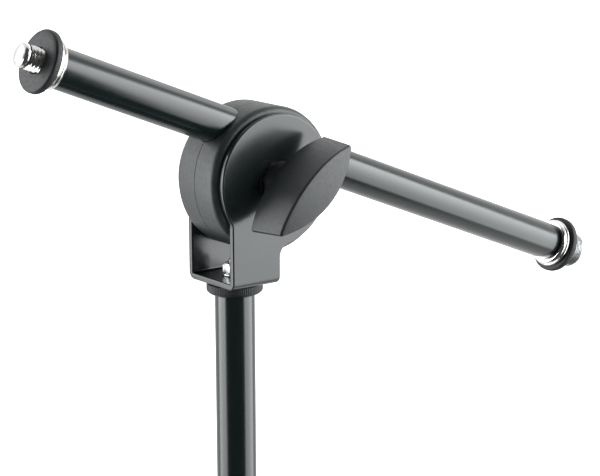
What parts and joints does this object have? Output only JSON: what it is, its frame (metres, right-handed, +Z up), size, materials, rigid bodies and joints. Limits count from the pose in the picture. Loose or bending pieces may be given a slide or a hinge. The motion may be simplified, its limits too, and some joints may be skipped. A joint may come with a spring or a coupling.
{
  "type": "boom microphone stand",
  "caption": "Short boom microphone stand: round cast base, telescoping column with clutch, and a tilting clamp head with a wing knob that holds a sliding boom with threaded ends.",
  "frame": {"origin": "middle of the base's underside, on the column's axis", "axes": "+Z up along the column; +X towards the rear end of the boom, whose plane is XZ; -Y out of the wing knob's side"},
  "size_m": [0.2896, 0.2, 0.4253],
  "materials": {
    "gloss_black_paint": "gloss black lacquer on steel tube",
    "satin_black_coat": "satin black powder coat on sheet steel",
    "moulded_black": "fine-grained black nylon",
    "knob_black": "grained black nylon",
    "black_rubber": "matte black rubber",
    "cast_base": "black structured paint on cast iron",
    "chrome_plate": "polished chrome",
    "bright_zinc": "bright zinc-plated steel",
    "brass_insert": "machined brass",
    "friction_fibre": "hard fibre"
  },
  "bodies": {
    "base": {"base_casting": "cast_base", "base_sole": "black_rubber", "base_screw": "bright_zinc", "base_washer": "bright_zinc", "tube_foot_insert": "bright_zinc", "foot_collar": "moulded_black", "lower_tube": "gloss_black_paint", "clutch_sleeve": "satin_black_coat", "clutch_collet": "moulded_black"},
    "grip": {"clutch_grip": "black_rubber"},
    "rod": {"upper_rod": "gloss_black_paint", "rod_end_plug": "moulded_black", "rod_top_insert": "bright_zinc", "bracket_washer": "bright_zinc", "bracket_nut": "bright_zinc"},
    "head_ring": {"head_lock_ring": "moulded_black"},
    "bracket": {"head_bracket": "satin_black_coat", "swivel_bolt": "bright_zinc"},
    "knob": {"wing_knob": "knob_black", "knob_insert": "brass_insert", "knob_washer": "bright_zinc"},
    "clamp": {"clamp_half_front": "moulded_black", "clamp_half_rear": "moulded_black", "friction_washer_front": "friction_fibre", "friction_washer_rear": "friction_fibre"},
    "boom": {"boom_tube": "gloss_black_paint", "mic_end_insert": "chrome_plate", "rear_end_insert": "chrome_plate"},
    "mic_ring": {"mic_end_lock_ring": "moulded_black"},
    "rear_ring": {"rear_end_lock_ring": "moulded_black"},
    "adapter": {"rear_thread_adapter": "bright_zinc"}
  },
  "joints": [
    {"name": "clutch_turn", "type": "hinge", "parent": "base", "child": "grip", "pos_m": [0, 0, 0.212], "axis": [0, 0, 1], "range_deg": [0, 180]},
    {"name": "height_slide", "type": "slide", "parent": "base", "child": "rod", "axis": [0, 0, 1], "range_m": [-0.081, 0.05]},
    {"name": "head_ring_turn", "type": "hinge", "parent": "rod", "child": "head_ring", "pos_m": [0, 0, 0.3162], "axis": [0, 0, 1], "continuous": true},
    {"name": "head_pan", "type": "hinge", "parent": "rod", "child": "bracket", "pos_m": [0, 0, 0.32], "axis": [0, 0, 1], "continuous": true},
    {"name": "knob_turn", "type": "hinge", "parent": "bracket", "child": "knob", "pos_m": [0.01023, -0.03, 0.36], "axis": [0, -1, 0], "continuous": true},
    {"name": "boom_tilt", "type": "hinge", "parent": "bracket", "child": "clamp", "pos_m": [0.01023, 0, 0.36], "axis": [0, 1, 0], "range_deg": [-88, 68]},
    {"name": "boom_slide", "type": "slide", "parent": "clamp", "child": "boom", "axis": [-0.9282, 0, 0.3722], "range_m": [-0.073, 0.138]},
    {"name": "mic_ring_turn", "type": "hinge", "parent": "boom", "child": "mic_ring", "pos_m": [-0.08588, 0, 0.41373], "axis": [-0.9282, 0, 0.3722], "continuous": true},
    {"name": "rear_ring_turn", "type": "hinge", "parent": "boom", "child": "rear_ring", "pos_m": [0.17698, 0, 0.30833], "axis": [0.9282, 0, -0.3722], "continuous": true},
    {"name": "adapter_turn", "type": "hinge", "parent": "boom", "child": "adapter", "pos_m": [0.18255, 0, 0.3061], "axis": [0.9282, 0, -0.3722], "continuous": true}
  ]
}
